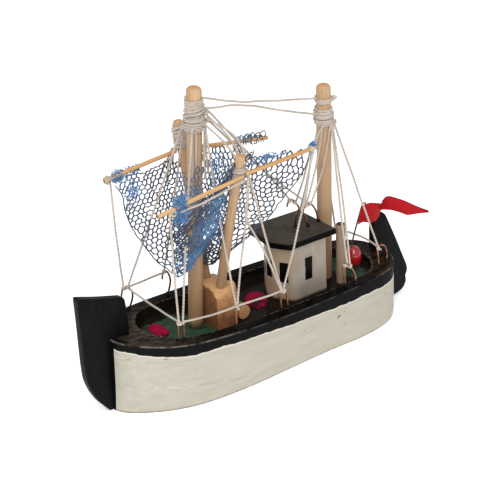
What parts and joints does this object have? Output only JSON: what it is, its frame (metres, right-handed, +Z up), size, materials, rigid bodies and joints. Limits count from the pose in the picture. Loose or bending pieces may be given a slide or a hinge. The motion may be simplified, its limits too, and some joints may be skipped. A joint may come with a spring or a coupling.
{
  "type": "toy wooden fishing boat",
  "caption": "Small painted wooden model of a fishing cutter with two masts, derricks, a hung net, a wheelhouse and a flag, standing on its flat hull.",
  "frame": {"origin": "on the flat underside of the hull, midway between the hull block's bow and stern, in the centre plane", "axes": "+X towards the bow, +Y to port, +Z up"},
  "size_m": [0.1376, 0.039, 0.1021],
  "materials": {
    "white_paint": "gloss paint on wood",
    "black_paint": "gloss paint on wood",
    "dowel_wood": "bare sanded dowel",
    "block_wood": "bare sawn wood",
    "stick_wood": "bare toothpick wood",
    "house_paint": "thin matt paint on wood",
    "funnel_paint": "thin matt paint on wood",
    "red_bead": "gloss",
    "red_flag": "stiffened cloth",
    "copper_wire": "dull copper wire",
    "cotton_thread": "twisted cotton",
    "net_cord": "fine knotted netting",
    "pink_felt": "felt"
  },
  "bodies": {
    "root": {"hull": "white_paint", "stem_plate": "black_paint", "stern_plate": "black_paint", "fore_mast": "dowel_wood", "aft_mast": "dowel_wood", "winch_block": "block_wood", "winch_drum": "dowel_wood", "port_derrick": "dowel_wood", "starboard_derrick": "dowel_wood", "port_yard_fore": "stick_wood", "port_yard_aft": "stick_wood", "starboard_yard_fore": "stick_wood", "starboard_yard_aft": "stick_wood", "wheelhouse": "house_paint", "wheelhouse_roof": "black_paint", "funnel": "funnel_paint", "float_bead": "red_bead", "flagpole": "copper_wire", "flag": "red_flag", "port_staple_1": "copper_wire", "port_staple_2": "copper_wire", "port_staple_3": "copper_wire", "port_staple_4": "copper_wire", "port_staple_5": "copper_wire", "starboard_staple_1": "copper_wire", "starboard_hook_2": "copper_wire", "starboard_staple_4": "copper_wire", "starboard_staple_5": "copper_wire", "roof_staple": "copper_wire", "roof_hook": "copper_wire", "fore_masthead_lashing": "cotton_thread", "aft_masthead_lashing": "cotton_thread", "port_derrick_lashing": "cotton_thread", "starboard_derrick_lashing": "cotton_thread", "masthead_stay": "cotton_thread", "port_aft_shroud": "cotton_thread", "starboard_aft_shroud": "cotton_thread", "net": "net_cord", "deck_patch_fore": "pink_felt", "deck_patch_mid": "pink_felt"}
  },
  "joints": []
}
